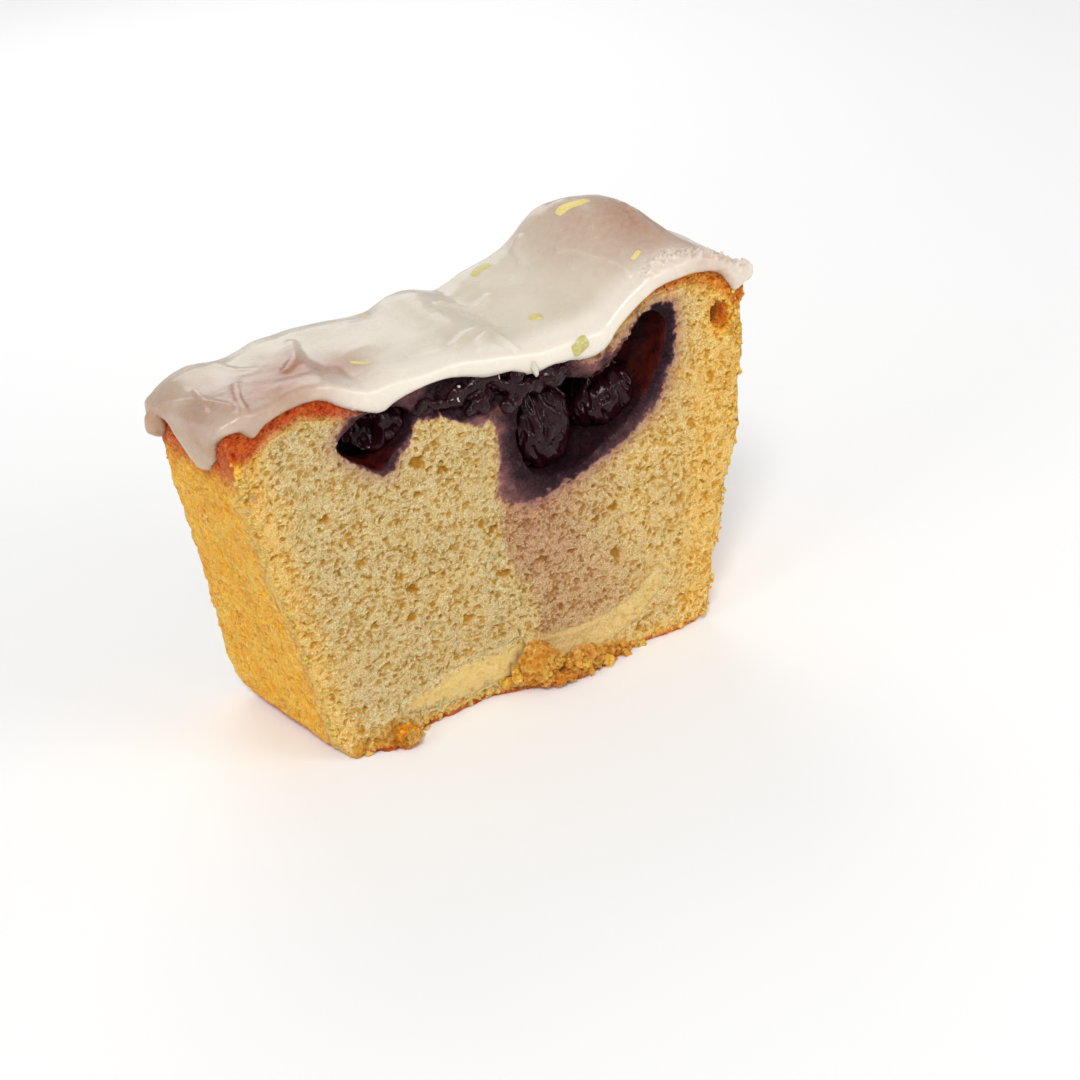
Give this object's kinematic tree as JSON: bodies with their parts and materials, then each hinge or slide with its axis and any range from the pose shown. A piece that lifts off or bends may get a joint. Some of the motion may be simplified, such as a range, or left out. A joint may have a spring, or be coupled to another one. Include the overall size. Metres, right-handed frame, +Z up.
{
  "type": "iced lemon loaf slice with blueberries",
  "caption": "Thick hand-cut slice of an iced lemon loaf cake with collapsed blueberries and a dense lemon layer, resting on its flat base",
  "frame": {"origin": "on the flat base, under the middle of the slice's box", "axes": "+X across the loaf towards the taller end of the icing, -Y out of the near cut face, +Z up from the base"},
  "size_m": [0.1296, 0.0467, 0.0963],
  "materials": {
    "sponge": "matt, porous crumb with a browned crust",
    "icing": "set sugar icing, satin to glossy",
    "lemon_layer": "dense, moist, smooth",
    "berry": "wet, wrinkled skin"
  },
  "bodies": {
    "root": {"sponge": "sponge", "icing": "icing", "lemon_layer": "lemon_layer", "berry_near_left": "berry", "berry_near_low": "berry", "berry_near_high": "berry", "berry_far_left": "berry", "berry_far_right": "berry"}
  },
  "joints": []
}
